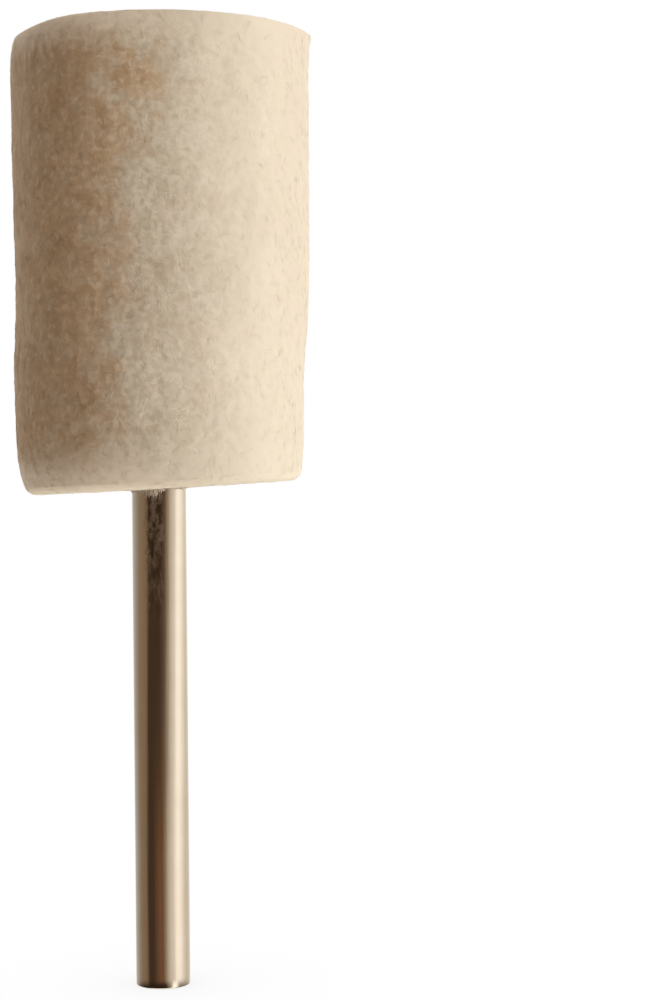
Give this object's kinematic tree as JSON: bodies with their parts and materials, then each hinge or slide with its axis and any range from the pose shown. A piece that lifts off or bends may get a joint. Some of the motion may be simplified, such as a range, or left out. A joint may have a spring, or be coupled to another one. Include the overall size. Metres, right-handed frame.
{
  "type": "felt polishing wheel",
  "caption": "Cylindrical pressed wool felt polishing wheel, glued on a plain straight steel shank for the collet of a small rotary tool.",
  "frame": {"origin": "centre of the shank's flat free end", "axes": "+Z along the axis of rotation, from the shank's free end up to the felt's flat top; X and Y are alike"},
  "size_m": [0.0164, 0.0164, 0.0525],
  "materials": {
    "wool_felt": "dense pressed wool, cream, fine loose fibres on the surface",
    "polished_steel": "bright ground and polished steel",
    "cured_adhesive": "hard amber adhesive"
  },
  "bodies": {
    "root": {"felt_wheel": "wool_felt", "shank": "polished_steel", "adhesive_bond": "cured_adhesive"}
  },
  "joints": []
}
